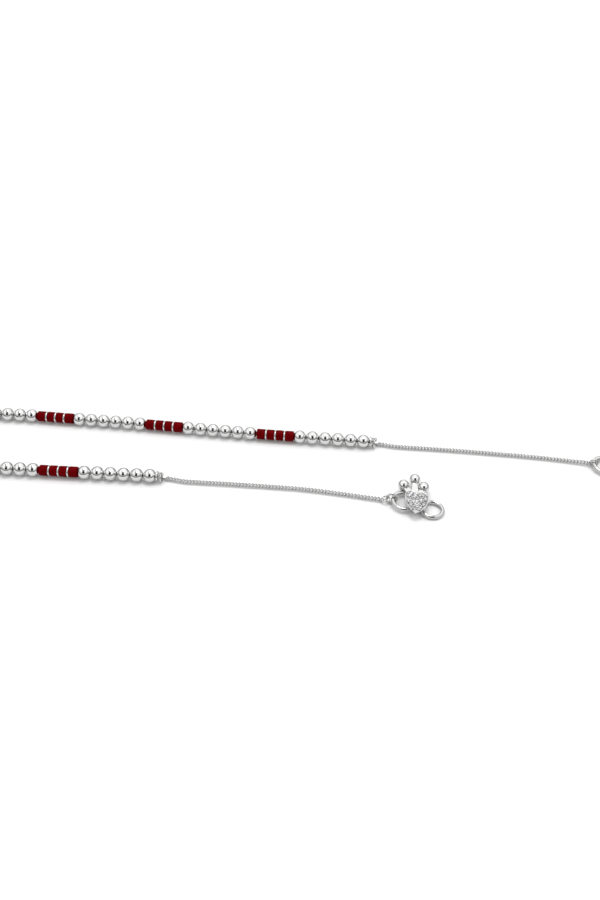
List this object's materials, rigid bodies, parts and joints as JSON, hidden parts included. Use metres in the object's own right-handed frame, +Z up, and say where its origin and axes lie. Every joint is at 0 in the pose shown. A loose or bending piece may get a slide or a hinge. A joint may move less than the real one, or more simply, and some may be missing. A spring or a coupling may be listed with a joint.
{
  "type": "anklet",
  "caption": "Slim silver anklet of ball beads and dark red tube beads, with a fine chain at each end and an S-hook clasp carrying a stone-set heart and crown.",
  "frame": {"origin": "centre of the bounding box, on the surface the anklet lies on", "axes": "+X along the laid-out strands, from the folded end towards the catch ring; +Y from the strand with the hook towards the strand with the catch ring; +Z up"},
  "size_m": [0.1392, 0.0218, 0.0027],
  "materials": {
    "silver": "polished silver",
    "red_glass": "opaque dark red glass or enamel"
  },
  "bodies": {
    "root": {"catch_ring": "silver", "end_link_upper": "silver", "chain_upper": "silver", "jump_ring_upper": "silver", "string_upper": "silver", "string_lower": "silver", "jump_ring_lower": "silver", "chain_lower": "silver", "end_link_lower": "silver", "hook_ring": "silver", "heart_hook": "silver", "red_bead_01": "red_glass", "red_bead_02": "red_glass", "red_bead_03": "red_glass", "red_bead_04": "red_glass", "red_bead_05": "red_glass", "red_bead_06": "red_glass", "red_bead_07": "red_glass", "red_bead_08": "red_glass", "red_bead_09": "red_glass", "red_bead_10": "red_glass", "red_bead_11": "red_glass", "red_bead_12": "red_glass", "red_bead_13": "red_glass", "red_bead_14": "red_glass", "red_bead_15": "red_glass", "red_bead_16": "red_glass", "red_bead_17": "red_glass", "red_bead_18": "red_glass", "red_bead_19": "red_glass", "red_bead_20": "red_glass", "red_bead_21": "red_glass", "red_bead_22": "red_glass", "red_bead_23": "red_glass", "red_bead_24": "red_glass"}
  },
  "joints": []
}
